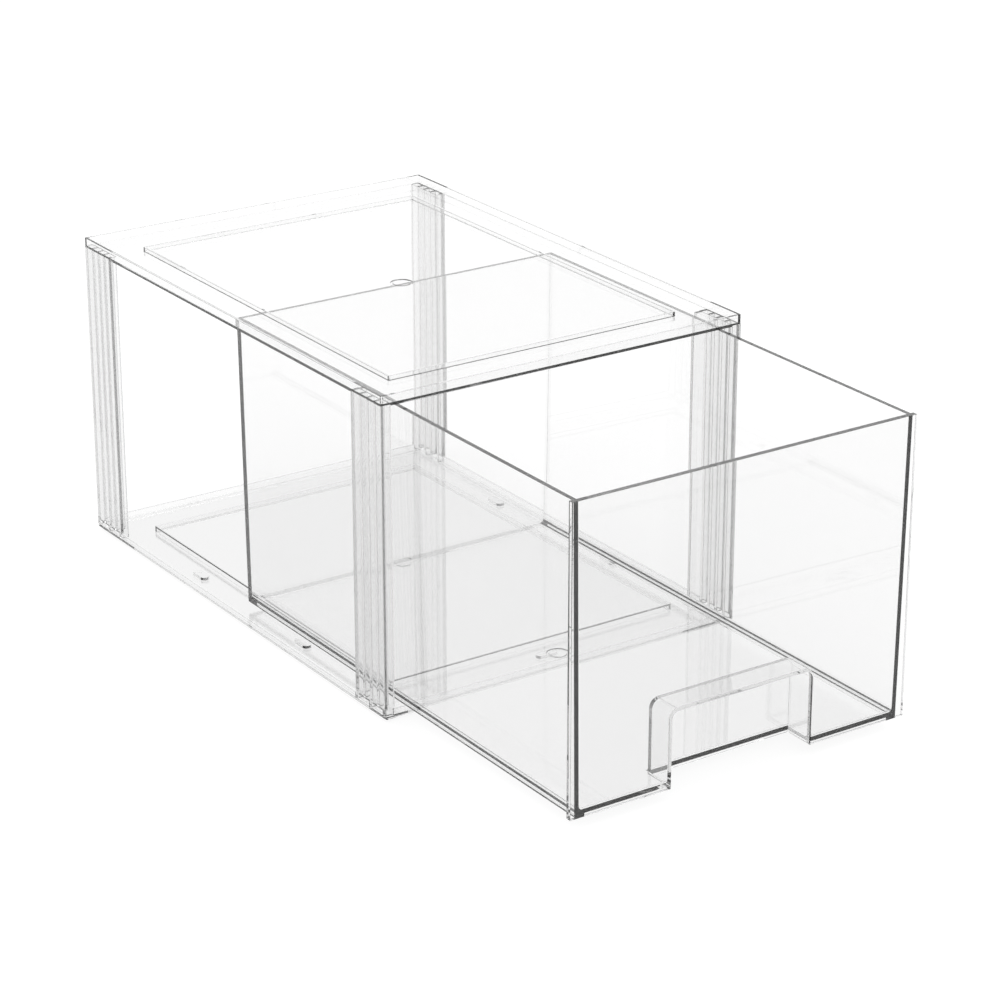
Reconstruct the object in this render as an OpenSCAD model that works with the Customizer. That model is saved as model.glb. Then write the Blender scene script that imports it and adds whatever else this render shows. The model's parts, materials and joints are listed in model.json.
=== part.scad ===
// Stackable clear drawer box: an open-sided case of two panels and four corner posts,
// and one drawer. Millimetres, X across, front towards -Y, Z up from the table.
// The origin is the middle of the case's footprint. The drawer is drawn pulled out.

/* [Case] */
// Width of the case
case_w = 210; // [180:1:260]
// Depth of the case, front to back
case_d = 294; // [240:1:360]
// Height of the case, table to top rim
case_h = 166; // [110:1:240]
// Radius of the case's upright corners
corner_r = 1; // [0.5:0.1:2]

/* [Panels] */
// Height of each panel's outer rim
rim_h = 5.5; // [5.3:0.1:8]
// Thickness of the rim wall
rim_t = 1.4; // [1.2:0.1:3]
// Thickness of the panels' sheet
sheet_t = 1.2; // [1:0.1:2]
// Width of the side borders around the top's ridge and the base's raised middle
border_x = 20.8; // [16:0.1:30]
// Width of the front and rear borders around them
border_y = 26.1; // [18:0.1:40]
// Height of the step up from the base's border to its middle
step_h = 3.1; // [2:0.1:3.2]
// Radius of the middle's and the ridge's corners
step_r = 1; // [0.5:0.1:8]
// Height of the ridge on the top
ridge_h = 2.3; // [1:0.1:3]
// Thickness of the ridge
ridge_t = 1.2; // [1:0.1:3]
// Height of the foot ring that stands inside the rim of the box below
foot_h = 1.6; // [1.2:0.1:1.7]
// Thickness of the foot ring
foot_t = 1.6; // [1.2:0.1:3]
// Gap between the foot ring and that rim
stack_gap = 0.2; // [0.2:0.1:0.6]
// Diameter of the ring mark in the middle of the panels and of the drawer's floor
mark_d = 11.5; // [6:0.5:20]
// Width of the ring mark's groove
mark_t = 1.2; // [0.6:0.1:2]
// Depth of the ring mark's groove
mark_h = 0.4; // [0.2:0.1:0.8]

/* [Nubs] */
// Length of the oval nubs on the base's borders
nub_l = 12; // [8:0.5:20]
// Width of the oval nubs
nub_w = 5; // [3:0.5:7]
// Height of the oval nubs
nub_h = 1.6; // [0.8:0.1:1.6]
// Distance between the two nubs of each side border
nub_pitch = 104; // [60:1:140]

/* [Posts] */
// Length of a post's section along the side of the case
post_l = 26.8; // [22:0.1:40]
// Thickness of a post's outer wall
post_t = 2; // [1.5:0.1:3]
// Number of ribs on the inside of a post; every second one ends in a leg at the bottom
post_ribs = 5; // [3:2:7]
// Thickness of each rib
rib_t = 2; // [1.5:0.1:2.5]
// Depth of the post at its ribs
rib_depth = 5.5; // [4.5:0.1:7]
// Depth of the front posts at the innermost rib, which guides the drawer
guide_depth = 9; // [8:0.1:12]
// Depth of the rear posts at the innermost rib
rear_depth = 3.6; // [2.5:0.1:7]
// Width of the legs that plug into the base's rim
leg_w = 4.8; // [3:0.1:6]
// Height left free under the legs
leg_end_gap = 0.4; // [0.1:0.1:1]
// Depth of the sockets under the top that take the posts' heads
socket_h = 0.7; // [0.5:0.1:0.8]
// Gap around a leg in its slot and around a head in its socket
leg_gap = 0.1; // [0.05:0.05:0.3]

/* [Drawer] */
// Gap between the drawer's top edge and each post's guide rib
guide_gap = 0.65; // [0.4:0.05:2]
// How far each side leans inwards from the top down to the bottom
side_lean = 1.85; // [0:0.05:4]
// Depth left free behind the closed drawer
rear_gap = 2; // [1:0.5:30]
// Thickness of the drawer's side and rear walls
wall = 2.3; // [1.5:0.1:4]
// Thickness of the drawer's floor
floor_t = 1.6; // [1.2:0.1:4]
// Radius inside the drawer between the floor and each side wall
floor_r = 3; // [1:0.5:6]
// Radius inside the drawer between the floor and the front with its pocket
front_r = 2; // [0.5:0.5:5]
// Height of the runner that goes round under the drawer's floor
runner_h = 0.9; // [0.4:0.1:1.5]
// Width of that runner at the sides and the rear
runner_w = 5.5; // [4:0.5:10]
// Thickness of the drawer's front
front_t = 3; // [2.5:0.1:6]
// How far the front stands out past the drawer's top at each side
front_out = 1.6; // [0:0.1:3]
// Gap between the drawer and the base that it slides on
slide_gap = 0.3; // [0.2:0.1:1]
// Gap between the drawer and the top panel
head_gap = 1.3; // [0.3:0.1:3]
// How far the drawer is pulled out
pull_out = 142; // [0:1:200]

/* [Finger notch] */
// Width of the notch in the drawer's front
notch_w = 80.5; // [60:0.5:120]
// Height of the notch above the drawer's bottom edge
notch_h = 38; // [25:1:60]
// Depth of the notch behind the front's face
notch_d = 16.5; // [12:0.5:35]
// Radius of the notch's upper corners
notch_r = 3.5; // [2:0.5:12]
// Thickness of the pocket's walls around the notch
pocket_t = 1.5; // [1:0.1:3]

/* [Hidden] */
$fn = 48;
overlap = 0.2;

// Base panel: its rim rests on the rim of the box below, its middle is level with its rim
base_border_z = rim_h - step_h;
base_middle_z = rim_h;
foot_inset = rim_t + stack_gap;

// Top panel: its flat sheet closes the rim's bottom
top_rim_z = case_h - rim_h;
top_sheet_z = top_rim_z + sheet_t;

// Posts stand on the base's rim, and their heads plug into the top's sheet
post_z = rim_h;
post_h = top_rim_z - rim_h;
rib_pitch = (post_l - rib_t) / (post_ribs - 1);
leg_down = step_h - leg_end_gap;

// The drawer's runner stands just above the base's rim and middle, its top under the top's sheet
drawer_y = -case_d / 2 - pull_out;
drawer_z = base_middle_z + slide_gap;
drawer_h = top_rim_z - head_gap - drawer_z;
drawer_floor_z = runner_h + floor_t;
drawer_l = case_d - rear_gap;
drawer_top_w = case_w - 2 * (guide_depth + guide_gap);
drawer_bottom_w = drawer_top_w - 2 * side_lean;
front_w = drawer_top_w + 2 * front_out;

clear_tint = [0.93, 0.95, 0.96, 0.35];

// Plate centred on the Z axis with round upright corners
module round_plate(w, d, h, r) {
    translate([-w / 2 + r, -d / 2, 0]) cube([w - 2 * r, d, h]);
    translate([-w / 2, -d / 2 + r, 0]) cube([w, d - 2 * r, h]);
    for (x = [-1, 1], y = [-1, 1])
        translate([x * (w / 2 - r), y * (d / 2 - r), 0]) cylinder(r = r, h = h);
}

// Upright wall of thickness t, whose outer face stands inset inside the case's outline
module ring_wall(inset, t, h) {
    difference() {
        round_plate(case_w - 2 * inset, case_d - 2 * inset, h, corner_r);
        translate([0, 0, -1])
            round_plate(case_w - 2 * (inset + t), case_d - 2 * (inset + t), h + 2,
                        corner_r / 2);
    }
}

// Plate of the panels' middle, made smaller by cut on every side
module middle_plate(cut, h) {
    round_plate(case_w - 2 * (border_x + cut), case_d - 2 * (border_y + cut), h,
                step_r / (1 + cut));
}

// Ring-shaped groove, mark_h deep, cut down from the height z
module ring_mark(z) {
    translate([0, 0, z - mark_h]) difference() {
        cylinder(d = mark_d, h = mark_h + 1);
        translate([0, 0, -1]) cylinder(d = mark_d - 2 * mark_t, h = mark_h + 3);
    }
}

// Draws its children, which are made for the front left corner with X and Y inwards,
// at the corner whose sides are sx and sy, each -1 or 1
module at_corner(sx, sy) {
    mirror([sx > 0 ? 1 : 0, 0, 0]) mirror([0, sy > 0 ? 1 : 0, 0])
        translate([-case_w / 2, -case_d / 2, 0]) children();
}

// Slots in the base's rim for the legs of one post, from the height z upwards
module leg_slots(z, h) {
    for (i = [0 : 2 : post_ribs - 1])
        translate([-1, i * rib_pitch - (i == 0 ? 1 : leg_gap), z])
            cube([leg_w + leg_gap + 1, rib_t + leg_gap + (i == 0 ? 1 : leg_gap), h]);
}

// Block that a post's head fills, larger by gap on its inner sides and by out on its outer sides
module head_block(gap, out, h) {
    translate([-out, -out, 0]) cube([rib_depth + gap + out, post_l + gap + out, h]);
}

module top_panel() {
    color(clear_tint) difference() {
        union() {
            translate([0, 0, top_rim_z]) round_plate(case_w, case_d, sheet_t, corner_r);
            translate([0, 0, top_rim_z]) ring_wall(0, rim_t, rim_h);
            translate([0, 0, top_rim_z]) difference() {
                middle_plate(0, sheet_t + ridge_h);
                translate([0, 0, sheet_t]) middle_plate(ridge_t, ridge_h + 1);
            }
        }
        ring_mark(top_sheet_z);
        for (sx = [-1, 1], sy = [-1, 1])
            at_corner(sx, sy) translate([0, 0, top_rim_z - 1])
                head_block(leg_gap, 1, socket_h + 1);
    }
}

// Oval nub lying along X
module nub() {
    translate([-(nub_l - nub_w) / 2, -nub_w / 2, 0]) cube([nub_l - nub_w, nub_w, nub_h]);
    for (x = [-1, 1])
        translate([x * (nub_l - nub_w) / 2, 0, 0]) cylinder(d = nub_w, h = nub_h);
}

module base_panel() {
    nub_x = (case_w - border_x - rim_t) / 2;
    nub_y = (case_d - border_y - rim_t) / 2;
    color(clear_tint) {
        difference() {
            union() {
                translate([0, 0, foot_h]) ring_wall(0, rim_t, rim_h - foot_h);
                ring_wall(foot_inset, foot_t, base_border_z);
                translate([0, 0, foot_h])
                    round_plate(case_w, case_d, base_border_z - foot_h, corner_r);
                translate([0, 0, base_border_z - sheet_t])
                    round_plate(case_w - 2 * foot_inset, case_d - 2 * foot_inset,
                                sheet_t, corner_r);
                translate([0, 0, base_border_z - sheet_t])
                    middle_plate(0, step_h + sheet_t);
            }
            translate([0, 0, base_border_z - sheet_t - 1])
                middle_plate(sheet_t, step_h + 1);
            ring_mark(base_middle_z);
            for (sx = [-1, 1], sy = [-1, 1])
                at_corner(sx, sy) leg_slots(base_border_z, step_h + 1);
        }
        translate([0, -nub_y, base_border_z - overlap]) nub();
        for (x = [-1, 1], y = [-1, 1])
            translate([x * nub_x, y * nub_pitch / 2, base_border_z - overlap])
                rotate(90) nub();
    }
}

// One corner post, drawn for the front left corner; its head ends in the top's socket
module post(inner_depth) {
    translate([0, 0, post_z]) cube([post_t, post_l, post_h + socket_h]);
    for (i = [0 : post_ribs - 1]) translate([0, i * rib_pitch, 0]) {
        depth = i == post_ribs - 1 ? inner_depth : rib_depth;
        translate([0, 0, post_z]) cube([depth, rib_t, post_h]);
        translate([0, 0, post_z]) cube([min(depth, rib_depth), rib_t, post_h + socket_h]);
        if (i % 2 == 0)
            translate([0, 0, post_z - leg_down]) cube([leg_w, rib_t, leg_down + post_h]);
    }
}

module post_front_left() { color(clear_tint) at_corner(-1, -1) post(guide_depth); }
module post_front_right() { color(clear_tint) at_corner(1, -1) post(guide_depth); }
module post_rear_left() { color(clear_tint) at_corner(-1, 1) post(rear_depth); }
module post_rear_right() { color(clear_tint) at_corner(1, 1) post(rear_depth); }

// Box of length l whose side faces slope from the bottom's width to the top's width
module sloped_box(bottom_w, top_w, l, h) {
    translate([0, l, 0]) rotate([90, 0, 0]) linear_extrude(l)
        polygon([[-bottom_w / 2, 0], [bottom_w / 2, 0], [top_w / 2, h], [-top_w / 2, h]]);
}

// The same with its lower edges rounded to the radius r
module round_trough(bottom_w, top_w, l, h, r) {
    translate([0, l, 0]) rotate([90, 0, 0]) linear_extrude(l) {
        polygon([[r - bottom_w / 2, 0], [bottom_w / 2 - r, 0], [bottom_w / 2, r],
                 [top_w / 2, h], [-top_w / 2, h], [-bottom_w / 2, r]]);
        for (x = [-1, 1]) translate([x * (bottom_w / 2 - r), r]) circle(r);
    }
}

// Block of the finger notch's shape, with round upper corners
module notch_block(w, h, l, r) {
    translate([-w / 2, 0, 0]) cube([w, l, h - r]);
    translate([-w / 2 + r, 0, 0]) cube([w - 2 * r, l, h]);
    for (x = [-1, 1])
        translate([x * (w / 2 - r), 0, h - r]) rotate([-90, 0, 0]) cylinder(r = r, h = l);
}

// Bar along X of length l that rounds an inner corner to the radius r, its back at Y = 0
module fillet_bar(l, r) {
    translate([-l / 2, 0, 0]) difference() {
        translate([0, -overlap, -overlap]) cube([l, r + overlap, r + overlap]);
        translate([-1, r, r]) rotate([0, 90, 0]) cylinder(r = r, h = l + 2);
    }
}

module drawer() {
    slope = (drawer_top_w - drawer_bottom_w) / drawer_h;
    color(clear_tint) translate([0, drawer_y, drawer_z]) difference() {
        union() {
            difference() {
                union() {
                    sloped_box(drawer_bottom_w, drawer_top_w, drawer_l, drawer_h);
                    translate([-front_w / 2, 0, 0]) cube([front_w, front_t, drawer_h]);
                }
                translate([0, front_t, drawer_floor_z])
                    round_trough(drawer_bottom_w - 2 * wall + slope * drawer_floor_z,
                                 drawer_top_w - 2 * wall + slope,
                                 drawer_l - front_t - wall, drawer_h - drawer_floor_z + 1,
                                 floor_r);
                translate([runner_w - drawer_bottom_w / 2, front_t, -1])
                    cube([drawer_bottom_w - 2 * runner_w, drawer_l - front_t - runner_w,
                          runner_h + 1]);
            }
            notch_block(notch_w + 2 * pocket_t, notch_h + pocket_t, notch_d + pocket_t,
                        notch_r + pocket_t);
            translate([0, front_t, drawer_floor_z])
                fillet_bar(drawer_bottom_w - 2 * wall, front_r);
            translate([0, notch_d + pocket_t, drawer_floor_z])
                fillet_bar(notch_w + 2 * pocket_t, front_r);
        }
        translate([0, -1, -1]) notch_block(notch_w, notch_h + 1, notch_d + 1, notch_r);
        translate([0, drawer_l / 2, 0]) ring_mark(drawer_floor_z);
    }
}

top_panel();
base_panel();
post_front_left();
post_front_right();
post_rear_left();
post_rear_right();
drawer();
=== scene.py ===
import json
import math

import bmesh
import bpy
from bpy.props import FloatProperty, IntProperty, PointerProperty, StringProperty
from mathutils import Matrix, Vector


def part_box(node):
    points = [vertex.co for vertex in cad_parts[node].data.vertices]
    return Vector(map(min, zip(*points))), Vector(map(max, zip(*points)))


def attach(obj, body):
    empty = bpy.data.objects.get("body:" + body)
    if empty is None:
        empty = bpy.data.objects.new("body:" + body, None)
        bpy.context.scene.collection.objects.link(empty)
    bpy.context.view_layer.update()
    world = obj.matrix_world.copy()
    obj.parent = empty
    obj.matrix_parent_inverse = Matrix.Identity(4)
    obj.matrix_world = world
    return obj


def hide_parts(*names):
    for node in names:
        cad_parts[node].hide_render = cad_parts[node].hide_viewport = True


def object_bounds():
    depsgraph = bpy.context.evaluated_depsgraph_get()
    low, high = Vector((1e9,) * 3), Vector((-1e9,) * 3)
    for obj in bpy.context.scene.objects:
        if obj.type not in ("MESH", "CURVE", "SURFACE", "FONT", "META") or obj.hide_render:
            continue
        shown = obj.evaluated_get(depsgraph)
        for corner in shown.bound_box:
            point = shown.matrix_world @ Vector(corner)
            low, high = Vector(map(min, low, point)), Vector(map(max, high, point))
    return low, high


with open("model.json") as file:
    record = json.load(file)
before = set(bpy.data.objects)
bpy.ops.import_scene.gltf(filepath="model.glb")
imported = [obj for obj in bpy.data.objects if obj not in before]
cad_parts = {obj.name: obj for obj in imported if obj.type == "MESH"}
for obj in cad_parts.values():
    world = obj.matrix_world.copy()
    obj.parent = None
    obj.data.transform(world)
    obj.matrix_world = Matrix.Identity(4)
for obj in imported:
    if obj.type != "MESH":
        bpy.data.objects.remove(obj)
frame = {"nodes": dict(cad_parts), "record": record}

bl_info = {
    "name": "Stackable Clear Drawer Box",
    "version": (1, 0, 0),
    "blender": (4, 5, 0),
    "location": "3D View > Sidebar > Drawer Box",
    "description": "Dresses a stackable clear drawer box and its studio",
    "category": "Object",
}

MM = 0.001
CAD_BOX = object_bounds()
POSTS = ("post_front_left", "post_front_right", "post_rear_left", "post_rear_right")

# The viewpoint: a long lens in front of the case, to its left and above it
VIEW_AZIMUTH = math.radians(-34.058)
VIEW_ELEVATION = math.radians(21.989)
VIEW_DISTANCE = 1584.4 * MM
VIEW_TARGET = Vector((-38.7 * MM, -147 * MM, 99.8 * MM))
VIEW_LENS = 119.35
VIEW_CLIP = (0.05, 60.0)

# The softbox over the box, the floor just under it, and the floor's glow, which leaves room for
# the lamp's light up to paper white
LAMP_PLACE = Vector((0.2, -0.2, 1.6))
LAMP_AIM = Vector((0.0, -0.07, 0.1))
FLOOR_GAP = 0.4 * MM
SWEEP_GLOW = 0.86

# The plastic's fine patterns: the width of a flow wave, its height, and a touched spot's width
FLOW_WAVE = 38 * MM
FLOW_HEIGHT = 0.4 * MM
TOUCHED_SPOT = 14 * MM

# Which points are one point, which faces are one face, which edges get a radius, and which
# creases stay crisp
SAME_POINT = 0.002 * MM
SAME_FACE = math.radians(0.5)
SHARP_EDGE = math.radians(35)
CRISP_CREASE = math.radians(50)

# How far from the drawer's middle and bottom its finger notch's front edge reaches at most
NOTCH_REACH = 45 * MM
ON_PLANE = 0.1 * MM

# Light runs up and down inside the walls, and each wall turns it back some fifty times
WALL_BOUNCES = 160
OPEN_BOUNCES = 32


def linear(hex_colour):
    """sRGB hex such as "f4f6f6" as a linear colour with full alpha."""
    values = (int(hex_colour[i:i + 2], 16) / 255 for i in (0, 2, 4))
    red, green, blue = (v / 12.92 if v <= 0.04045 else ((v + 0.055) / 1.055) ** 2.4
                        for v in values)
    return red, green, blue, 1.0


# ---------------------------------------------------------------- node helpers

def add_node(tree, kind, links=None, **settings):
    """Adds a node. links sets its inputs, to a value or another node's socket."""
    node = tree.nodes.new(kind)
    for name, value in settings.items():
        setattr(node, name, value)
    for key, value in (links or {}).items():
        if isinstance(value, bpy.types.NodeSocket):
            tree.links.new(value, node.inputs[key])
        else:
            node.inputs[key].default_value = value
    return node


def new_material(name):
    """An empty node material and its node tree."""
    material = bpy.data.materials.new(name)
    material.use_nodes = True
    material.node_tree.nodes.clear()
    return material, material.node_tree


# ---------------------------------------------------------------- materials

def clear_polystyrene(name, look, absorption):
    """General-purpose polystyrene, injection moulded in a polished tool: water-clear and
    glossy. It takes a little light with every millimetre, so a wall is barely grey and an edge
    that is looked into lengthways is dark. The flow leaves a faint ripple, and hands leave a
    trace of haze."""
    material, tree = new_material(name)
    place = add_node(tree, "ShaderNodeTexCoord").outputs["Object"]
    flow = add_node(tree, "ShaderNodeTexNoise",
                    {"Vector": place, "Scale": 1 / FLOW_WAVE, "Detail": 2.0, "Roughness": 0.4})
    bump = add_node(tree, "ShaderNodeBump",
                    {"Height": flow.outputs["Fac"], "Strength": look.ripple,
                     "Distance": FLOW_HEIGHT})
    touch = add_node(tree, "ShaderNodeTexNoise",
                     {"Vector": place, "Scale": 1 / TOUCHED_SPOT, "Detail": 5.0})
    rough = add_node(tree, "ShaderNodeMapRange",
                     {"Value": touch.outputs["Fac"], "From Min": 0.45, "From Max": 0.75,
                      "To Min": 0.0, "To Max": look.haze})
    plastic = add_node(tree, "ShaderNodeBsdfPrincipled",
                       {"Base Color": linear(look.tint), "IOR": 1.59,
                        "Transmission Weight": 1.0, "Roughness": rough.outputs["Result"],
                        "Normal": bump.outputs["Normal"]})
    # lamps shine through the clear walls, as they do through real ones
    clear = add_node(tree, "ShaderNodeBsdfTransparent", {"Color": linear("fbfbfb")})
    path = add_node(tree, "ShaderNodeLightPath")
    mix = add_node(tree, "ShaderNodeMixShader",
                   {"Fac": path.outputs["Is Shadow Ray"], 1: plastic.outputs["BSDF"],
                    2: clear.outputs["BSDF"]})
    inside = add_node(tree, "ShaderNodeVolumeAbsorption",
                      {"Color": linear(look.inside), "Density": absorption})
    add_node(tree, "ShaderNodeOutputMaterial",
             {"Surface": mix.outputs["Shader"], "Volume": inside.outputs["Volume"]})
    return material


def smooth_plastic(look):
    """The clear polystyrene of the panels and the drawer."""
    name = "smooth_clear_polystyrene"
    return bpy.data.materials.get(name) or clear_polystyrene(name, look, look.absorption)


def post_plastic_painted_shade(look):
    """The clear polystyrene of the posts. It takes more light per metre than the same plastic in
    the panels and the drawer, which is painted shade that darkens the ribbed posts.
    """
    name = "ribbed_clear_polystyrene_painted_shade"
    return bpy.data.materials.get(name) or clear_polystyrene(name, look, look.post_absorption_painted_shade)


def studio_floor_paint(name):
    """Matt white sweep. It is seen as paper white, straight and through the plastic, and still
    catches the faint shadow. For the light that it throws on the box it is plain white paint."""
    material, tree = new_material(name)
    paint = add_node(tree, "ShaderNodeBsdfDiffuse", {"Color": linear("e7e7e7")})
    glow = add_node(tree, "ShaderNodeEmission", {"Color": linear("ffffff"), "Strength": SWEEP_GLOW})
    dim = add_node(tree, "ShaderNodeBsdfDiffuse", {"Color": linear("737373")})
    both = add_node(tree, "ShaderNodeAddShader",
                    {0: glow.outputs["Emission"], 1: dim.outputs["BSDF"]})
    path = add_node(tree, "ShaderNodeLightPath")
    seen = add_node(tree, "ShaderNodeMath",
                    {0: path.outputs["Is Diffuse Ray"], 1: 0.5}, operation="LESS_THAN")
    mix = add_node(tree, "ShaderNodeMixShader",
                   {"Fac": seen.outputs["Value"], 1: paint.outputs["BSDF"],
                    2: both.outputs["Shader"]})
    add_node(tree, "ShaderNodeOutputMaterial", {"Surface": mix.outputs["Shader"]})
    return material


# ---------------------------------------------------------------- mesh helpers

def bake_modifiers(piece):
    """Replaces a piece's mesh by its evaluated mesh and removes its modifiers."""
    depsgraph = bpy.context.evaluated_depsgraph_get()
    mesh = bpy.data.meshes.new_from_object(piece.evaluated_get(depsgraph))
    piece.modifiers.clear()
    piece.data = mesh
    return piece


def finish_piece(piece, node, material):
    """Gives a piece its material and its body, and hides the CAD node that it stands for."""
    piece.data.materials.clear()
    piece.data.materials.append(material)
    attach(piece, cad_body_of(node))
    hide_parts(node)
    return piece


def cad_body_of(node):
    """The name of the body that a CAD node belongs to."""
    for body, members in frame["record"]["behaviour"]["bodies"].items():
        if node in members:
            return body
    raise RuntimeError(f"{node} is in no body")


def cad_copy(node, name):
    """A new object with a copy of a CAD node's solid, merged into closed flat faces."""
    piece = bpy.data.objects.new(name, frame["nodes"][node].data.copy())
    bpy.context.scene.collection.objects.link(piece)
    merge_flats(piece.data)
    return piece


def merge_flats(mesh):
    """Merges doubled points and joins the triangles of each flat face."""
    bm = bmesh.new()
    bm.from_mesh(mesh)
    bmesh.ops.remove_doubles(bm, verts=bm.verts, dist=SAME_POINT)
    bmesh.ops.dissolve_limit(bm, angle_limit=SAME_FACE, verts=bm.verts, edges=bm.edges)
    bm.to_mesh(mesh)
    bm.free()


def weigh_edges(mesh, radius_of, widest):
    """Stores the radius of each sharp edge of a closed mesh as its share of the widest one."""
    bm = bmesh.new()
    bm.from_mesh(mesh)
    share = bm.edges.layers.float.new("bevel_weight_edge")
    for edge in bm.edges:
        if edge.calc_face_angle() > SHARP_EDGE:
            edge[share] = radius_of(edge) / widest
    bm.to_mesh(mesh)
    bm.free()


def round_edges(piece, look, radius_of=None):
    """Rounds a piece's sharp edges as its mould does and keeps the flat faces flat. radius_of
    tells an edge's radius where it isn't the same on the whole piece."""
    edge = piece.modifiers.new("mould radius", "BEVEL")
    edge.segments = look.edge_segments
    if radius_of:
        weigh_edges(piece.data, radius_of, look.notch_radius)
        edge.limit_method = "WEIGHT"
        edge.width = look.notch_radius
        edge.use_clamp_overlap = False
    else:
        edge.limit_method = "ANGLE"
        edge.angle_limit = SHARP_EDGE
        edge.width = look.edge_radius
        edge.use_clamp_overlap = True
    bake_modifiers(piece)
    piece.data.shade_smooth()
    piece.data.set_sharp_from_angle(angle=CRISP_CREASE)
    flats = piece.modifiers.new("flat faces", "WEIGHTED_NORMAL")
    flats.mode = "FACE_AREA"
    flats.weight = 100
    flats.keep_sharp = True
    return bake_modifiers(piece)


# ---------------------------------------------------------------- settings

class ClearBoxSettings(bpy.types.PropertyGroup):
    """Finish of the clear plastic pieces."""
    tint: StringProperty(
        name="Surface tint", description="sRGB hex of the plastic's surface", default="fcfcfc")
    inside: StringProperty(
        name="Inner tint", description="sRGB hex that long ways through the plastic turn to",
        default="000000")
    absorption: FloatProperty(
        name="Absorption", description="How strongly a metre of the smooth plastic dims light",
        default=11.0, min=0.0, max=100.0)
    # the posts' plastic dims light more than the same plastic in the panels: painted shade on the
    # ribbed posts
    post_absorption_painted_shade: FloatProperty(
        name="Post absorption", description="How strongly a metre of the ribbed plastic dims light",
        default=38.0, min=0.0, max=100.0)
    edge_radius: FloatProperty(
        name="Edge radius", description="Radius that the mould leaves on the case's edges",
        default=0.35 * MM, min=0.0, unit="LENGTH", subtype="DISTANCE")
    drawer_radius: FloatProperty(
        name="Drawer edge radius", description="Radius that the mould leaves on the drawer's edges",
        default=0.18 * MM, min=0.0, unit="LENGTH", subtype="DISTANCE")
    notch_radius: FloatProperty(
        name="Notch radius", description="Radius round the front of the finger notch",
        default=1.0 * MM, min=0.1 * MM, unit="LENGTH", subtype="DISTANCE")
    edge_segments: IntProperty(
        name="Edge segments", description="Steps round each edge", default=3, min=1, max=4)
    ripple: FloatProperty(
        name="Ripple", description="Strength of the flow ripple", default=0.05, min=0.0, max=1.0)
    haze: FloatProperty(
        name="Haze", description="Roughness of the touched places", default=0.02, min=0.0, max=0.5)


class PostSettings(bpy.types.PropertyGroup):
    """Sizes of the ribbed corner posts."""
    wall: FloatProperty(
        name="Wall", description="Thickness of the outer wall", default=2 * MM, min=0.5 * MM,
        unit="LENGTH", subtype="DISTANCE")
    ribs: IntProperty(name="Ribs", description="Ribs on the inside of a post", default=5, min=3)
    rib_thickness: FloatProperty(
        name="Rib thickness", description="Thickness of each rib", default=2 * MM, min=0.5 * MM,
        unit="LENGTH", subtype="DISTANCE")
    rib_depth: FloatProperty(
        name="Rib depth", description="Depth of the post at its ribs", default=5.5 * MM,
        min=1 * MM, unit="LENGTH", subtype="DISTANCE")
    rear_depth: FloatProperty(
        name="Rear depth", description="Depth of the rear posts at their innermost rib",
        default=3.6 * MM, min=1 * MM, unit="LENGTH", subtype="DISTANCE")
    leg_width: FloatProperty(
        name="Leg width", description="Width of the legs that plug into the base's rim",
        default=4.8 * MM, min=1 * MM, unit="LENGTH", subtype="DISTANCE")
    foot: FloatProperty(
        name="Foot height", description="Height at which the post stands", default=5.5 * MM,
        min=0.0, unit="LENGTH", subtype="DISTANCE")
    shoulder: FloatProperty(
        name="Shoulder height", description="Height of the top panel's underside",
        default=160.5 * MM, min=0.0, unit="LENGTH", subtype="DISTANCE")


class StudioSettings(bpy.types.PropertyGroup):
    """The plain studio round the box."""
    floor_size: FloatProperty(
        name="Floor size", description="Side of the square floor", default=12.0, min=1.0,
        unit="LENGTH", subtype="DISTANCE")
    lens: FloatProperty(
        name="Lens", description="Focal length of the camera", default=VIEW_LENS, min=10.0,
        unit="CAMERA")
    lamp_size: FloatProperty(
        name="Lamp size", description="Side of the square softbox overhead", default=1.4, min=0.1,
        unit="LENGTH", subtype="DISTANCE")
    lamp_power: FloatProperty(
        name="Lamp power", description="Power of the softbox overhead", default=16.0, min=0.0,
        unit="POWER")


# ---------------------------------------------------------------- pieces

class CLEARBOX_OT_panels(bpy.types.Operator):
    """Make the top and base panels of the case"""
    bl_idname = "clearbox.panels"
    bl_label = "Panels"

    def execute(self, context):
        look = context.scene.clear_box
        for node in ("top_panel", "base_panel"):
            piece = round_edges(cad_copy(node, f"clear_{node}"), look)
            finish_piece(piece, node, smooth_plastic(look))
        return {"FINISHED"}


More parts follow.
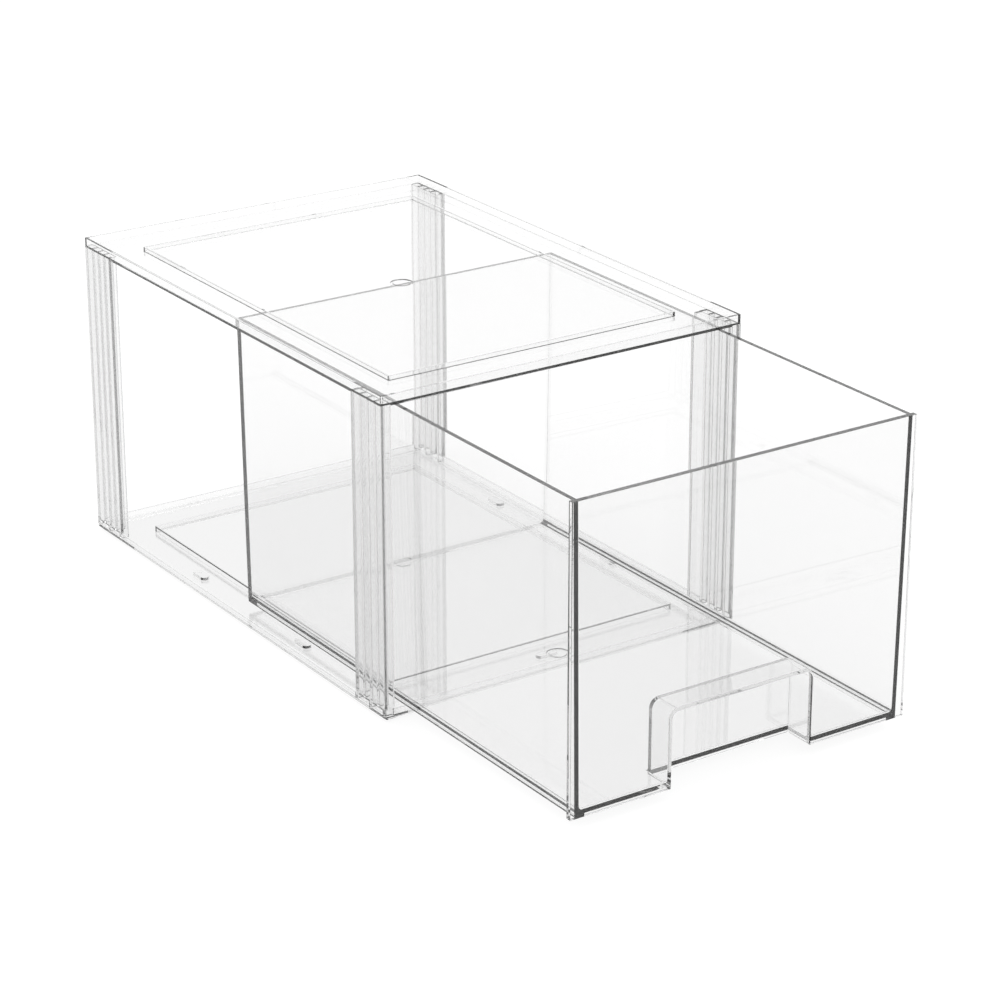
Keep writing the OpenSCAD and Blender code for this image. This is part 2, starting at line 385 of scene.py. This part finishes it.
def ribbed_post_tree():
    """A node tree that makes one post. Corner is the case's corner on the table, and Inward
    holds 1 or -1 for X and Y, whichever leads into the case."""
    tree = bpy.data.node_groups.new("ribbed post", "GeometryNodeTree")
    sockets = (("Corner", "Vector"), ("Inward", "Vector"), ("Length", "Float"),
               ("Wall", "Float"), ("Ribs", "Int"), ("Rib thickness", "Float"),
               ("Rib depth", "Float"), ("Last depth", "Float"), ("Guide depth", "Float"),
               ("Leg width", "Float"), ("Foot", "Float"), ("Shoulder", "Float"),
               ("Head", "Float"), ("Leg foot", "Float"), ("Material", "Material"))
    for name, kind in sockets:
        tree.interface.new_socket(name, in_out="INPUT", socket_type=f"NodeSocket{kind}")
    tree.interface.new_socket("Post", in_out="OUTPUT", socket_type="NodeSocketGeometry")
    given = add_node(tree, "NodeGroupInput").outputs

    def sums(operation, first, second):
        return add_node(tree, "ShaderNodeMath", {0: first, 1: second},
                        operation=operation).outputs["Value"]

    def vector(x, y, z):
        return add_node(tree, "ShaderNodeCombineXYZ", {"X": x, "Y": y, "Z": z}).outputs["Vector"]

    def inwards(x, y, z):
        """The point at x, y inwards from the corner, at the height z."""
        turned = add_node(tree, "ShaderNodeVectorMath", {0: vector(x, y, z), 1: given["Inward"]},
                          operation="MULTIPLY").outputs["Vector"]
        return add_node(tree, "ShaderNodeVectorMath", {0: turned, 1: given["Corner"]},
                        operation="ADD").outputs["Vector"]

    half = add_node(tree, "ShaderNodeVectorMath", {0: given["Inward"], "Scale": 0.5},
                    operation="SCALE").outputs["Vector"]
    cube = add_node(tree, "GeometryNodeMeshCube", {"Size": (1, 1, 1)}).outputs["Mesh"]
    block = add_node(tree, "GeometryNodeTransform",
                     {"Geometry": cube, "Translation": half}).outputs["Geometry"]

    def row(start, count, pitch, low, high, depth, thickness):
        """Upright blocks in a row along Y from start, from the height low to high."""
        step = add_node(tree, "ShaderNodeVectorMath",
                        {0: vector(0.0, pitch, 0.0), 1: given["Inward"]},
                        operation="MULTIPLY").outputs["Vector"]
        line = add_node(tree, "GeometryNodeMeshLine",
                        {"Count": count, "Start Location": inwards(0.0, start, low),
                         "Offset": step}).outputs["Mesh"]
        size = vector(depth, thickness, sums("SUBTRACT", high, low))
        return add_node(tree, "GeometryNodeInstanceOnPoints",
                        {"Points": line, "Instance": block, "Scale": size}).outputs["Instances"]

    span = sums("SUBTRACT", given["Length"], given["Rib thickness"])
    last = sums("SUBTRACT", given["Ribs"], 1.0)
    pitch = sums("DIVIDE", span, last)
    end = sums("MULTIPLY", pitch, last)
    # every second rib goes down into the base as a leg
    legs = sums("ADD", sums("FLOOR", sums("DIVIDE", last, 2.0), 0.0), 1.0)
    foot, shoulder, head = given["Foot"], given["Shoulder"], given["Head"]
    thickness = given["Rib thickness"]
    # the outer wall, the ribs, the innermost rib, the drawer's guide on it, and the legs
    parts = (row(0.0, 1, 0.0, foot, head, given["Wall"], given["Length"]),
             row(0.0, last, pitch, foot, head, given["Rib depth"], thickness),
             row(end, 1, 0.0, foot, head, given["Last depth"], thickness),
             row(end, 1, 0.0, foot, shoulder, given["Guide depth"], thickness),
             row(0.0, legs, sums("MULTIPLY", pitch, 2.0), given["Leg foot"], shoulder,
                 given["Leg width"], thickness))
    union = add_node(tree, "GeometryNodeMeshBoolean", {"Self Intersection": True},
                     operation="UNION", solver="EXACT")
    for part in parts:
        plain = add_node(tree, "GeometryNodeRealizeInstances", {"Geometry": part})
        tree.links.new(plain.outputs["Geometry"], union.inputs["Mesh 2"])
    whole = add_node(tree, "GeometryNodeRealizeInstances", {"Geometry": union.outputs["Mesh"]})
    coat = add_node(tree, "GeometryNodeSetMaterial",
                    {"Geometry": whole.outputs["Geometry"], "Material": given["Material"]})
    add_node(tree, "NodeGroupOutput", {"Post": coat.outputs["Geometry"]})
    return tree


def set_inputs(modifier, values):
    """Sets a Geometry Nodes modifier's inputs by their names."""
    for item in modifier.node_group.interface.items_tree:
        if item.in_out == "INPUT" and item.name in values:
            modifier[item.identifier] = values[item.name]


class CLEARBOX_OT_posts(bpy.types.Operator):
    """Make the four ribbed corner posts"""
    bl_idname = "clearbox.posts"
    bl_label = "Posts"

    def execute(self, context):
        look = context.scene.clear_box
        sizes = context.scene.clear_box_posts
        tree = ribbed_post_tree()
        for node in POSTS:
            low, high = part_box(node)
            left, front = low[0] < 0, low[1] < 0
            guide = high[0] - low[0] if front else sizes.rear_depth
            piece = bpy.data.objects.new(f"clear_{node}", bpy.data.meshes.new(node))
            context.scene.collection.objects.link(piece)
            ribbed = piece.modifiers.new("ribbed post", "NODES")
            ribbed.node_group = tree
            set_inputs(ribbed, {
                "Corner": (low[0] if left else high[0], low[1] if front else high[1], 0.0),
                "Inward": (1.0 if left else -1.0, 1.0 if front else -1.0, 1.0),
                "Length": high[1] - low[1], "Wall": sizes.wall, "Ribs": sizes.ribs,
                "Rib thickness": sizes.rib_thickness, "Rib depth": sizes.rib_depth,
                "Last depth": min(guide, sizes.rib_depth), "Guide depth": guide,
                "Leg width": sizes.leg_width, "Foot": sizes.foot,
                "Shoulder": sizes.shoulder, "Head": high[2], "Leg foot": low[2],
                "Material": post_plastic_painted_shade(look)})
            bake_modifiers(piece)
            merge_flats(piece.data)
            # the post and its Material input take the darker copy of the plastic: painted shade on
            # the ribbed posts
            finish_piece(round_edges(piece, look), node, post_plastic_painted_shade(look))
        return {"FINISHED"}


class CLEARBOX_OT_drawer(bpy.types.Operator):
    """Make the one-piece drawer"""
    bl_idname = "clearbox.drawer"
    bl_label = "Drawer"

    def execute(self, context):
        look = context.scene.clear_box
        _, front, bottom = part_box("drawer")[0]

        def radius_of(edge):
            """The front edge of the finger notch is soft, and the other edges are crisp."""
            points = [vertex.co for vertex in edge.verts]
            at_front = all(p.y < front + ON_PLANE for p in points)
            at_notch = all(abs(p.x) < NOTCH_REACH and p.z < bottom + NOTCH_REACH for p in points)
            at_bottom = all(p.z < bottom + ON_PLANE for p in points)
            soft = at_front and at_notch and not at_bottom
            return look.notch_radius if soft else look.drawer_radius

        piece = round_edges(cad_copy("drawer", "clear_drawer"), look, radius_of)
        finish_piece(piece, "drawer", smooth_plastic(look))
        return {"FINISHED"}


# ---------------------------------------------------------------- studio

class CLEARBOX_OT_studio(bpy.types.Operator):
    """Make the floor, the light tent, the soft lamp and the camera"""
    bl_idname = "clearbox.studio"
    bl_label = "Studio"

    def execute(self, context):
        studio = context.scene.clear_box_studio
        self.make_floor(context, studio)
        self.make_world(context)
        self.make_lamp(context, studio)
        self.make_camera(context, studio)
        return {"FINISHED"}

    def make_floor(self, context, studio):
        half = studio.floor_size / 2
        level = CAD_BOX[0].z - FLOOR_GAP
        mesh = bpy.data.meshes.new("studio_floor")
        corners = [(x * half, y * half, level) for x, y in ((-1, -1), (1, -1), (1, 1), (-1, 1))]
        mesh.from_pydata(corners, [], [(0, 1, 2, 3)])
        mesh.materials.append(studio_floor_paint("matt_white_sweep"))
        floor = bpy.data.objects.new("studio_floor", mesh)
        context.scene.collection.objects.link(floor)

    def make_world(self, context):
        world = bpy.data.worlds.new("white light tent")
        context.scene.world = world
        world.use_nodes = True
        tree = world.node_tree
        tree.nodes.clear()
        tent = add_node(tree, "ShaderNodeBackground", {"Color": linear("ffffff"), "Strength": 1.0})
        add_node(tree, "ShaderNodeOutputWorld", {"Surface": tent.outputs["Background"]})

    def make_lamp(self, context, studio):
        data = bpy.data.lights.new("overhead softbox", "AREA")
        data.shape = "SQUARE"
        data.size = studio.lamp_size
        data.energy = studio.lamp_power
        lamp = bpy.data.objects.new("overhead softbox", data)
        context.scene.collection.objects.link(lamp)
        lamp.location = LAMP_PLACE
        lamp.rotation_euler = (LAMP_AIM - LAMP_PLACE).to_track_quat("-Z", "Y").to_euler()

    def make_camera(self, context, studio):
        back = Vector((math.sin(VIEW_AZIMUTH) * math.cos(VIEW_ELEVATION),
                       -math.cos(VIEW_AZIMUTH) * math.cos(VIEW_ELEVATION),
                       math.sin(VIEW_ELEVATION)))
        data = bpy.data.cameras.new("camera")
        data.lens = studio.lens
        data.sensor_width = 36
        data.clip_start, data.clip_end = VIEW_CLIP
        camera = bpy.data.objects.new("camera", data)
        context.scene.collection.objects.link(camera)
        camera.location = VIEW_TARGET + back * VIEW_DISTANCE
        camera.rotation_euler = (-back).to_track_quat("-Z", "Y").to_euler()
        context.scene.camera = camera


# ---------------------------------------------------------------- panel and registration

class CLEARBOX_PT_sidebar(bpy.types.Panel):
    """Lists the steps that make the drawer box"""
    bl_idname = "CLEARBOX_PT_sidebar"
    bl_label = "Drawer Box"
    bl_space_type = "VIEW_3D"
    bl_region_type = "UI"
    bl_category = "Drawer Box"

    def draw(self, context):
        scene = context.scene
        for settings in (scene.clear_box, scene.clear_box_posts, scene.clear_box_studio):
            for name in settings.bl_rna.properties.keys():
                if name not in {"rna_type", "name"}:
                    self.layout.prop(settings, name)
        for operator in STEPS:
            self.layout.operator(operator.bl_idname)


STEPS = (CLEARBOX_OT_studio, CLEARBOX_OT_panels, CLEARBOX_OT_posts, CLEARBOX_OT_drawer)
CLASSES = (ClearBoxSettings, PostSettings, StudioSettings, *STEPS, CLEARBOX_PT_sidebar)


def register():
    for cls in CLASSES:
        bpy.utils.register_class(cls)
    bpy.types.Scene.clear_box = PointerProperty(type=ClearBoxSettings)
    bpy.types.Scene.clear_box_posts = PointerProperty(type=PostSettings)
    bpy.types.Scene.clear_box_studio = PointerProperty(type=StudioSettings)


def unregister():
    del bpy.types.Scene.clear_box_studio
    del bpy.types.Scene.clear_box_posts
    del bpy.types.Scene.clear_box
    for cls in reversed(CLASSES):
        bpy.utils.unregister_class(cls)


def main():
    """Makes the studio and every piece."""
    register()
    scene = bpy.context.scene
    scene.view_settings.view_transform = "Standard"
    scene.cycles.max_bounces = WALL_BOUNCES
    scene.cycles.transmission_bounces = WALL_BOUNCES
    scene.cycles.glossy_bounces = WALL_BOUNCES
    scene.cycles.transparent_max_bounces = OPEN_BOUNCES
    scene.cycles.caustics_reflective = False
    scene.cycles.caustics_refractive = False
    bpy.ops.clearbox.studio()
    bpy.ops.clearbox.panels()
    bpy.ops.clearbox.posts()
    bpy.ops.clearbox.drawer()


if __name__ == "__main__":
    main()
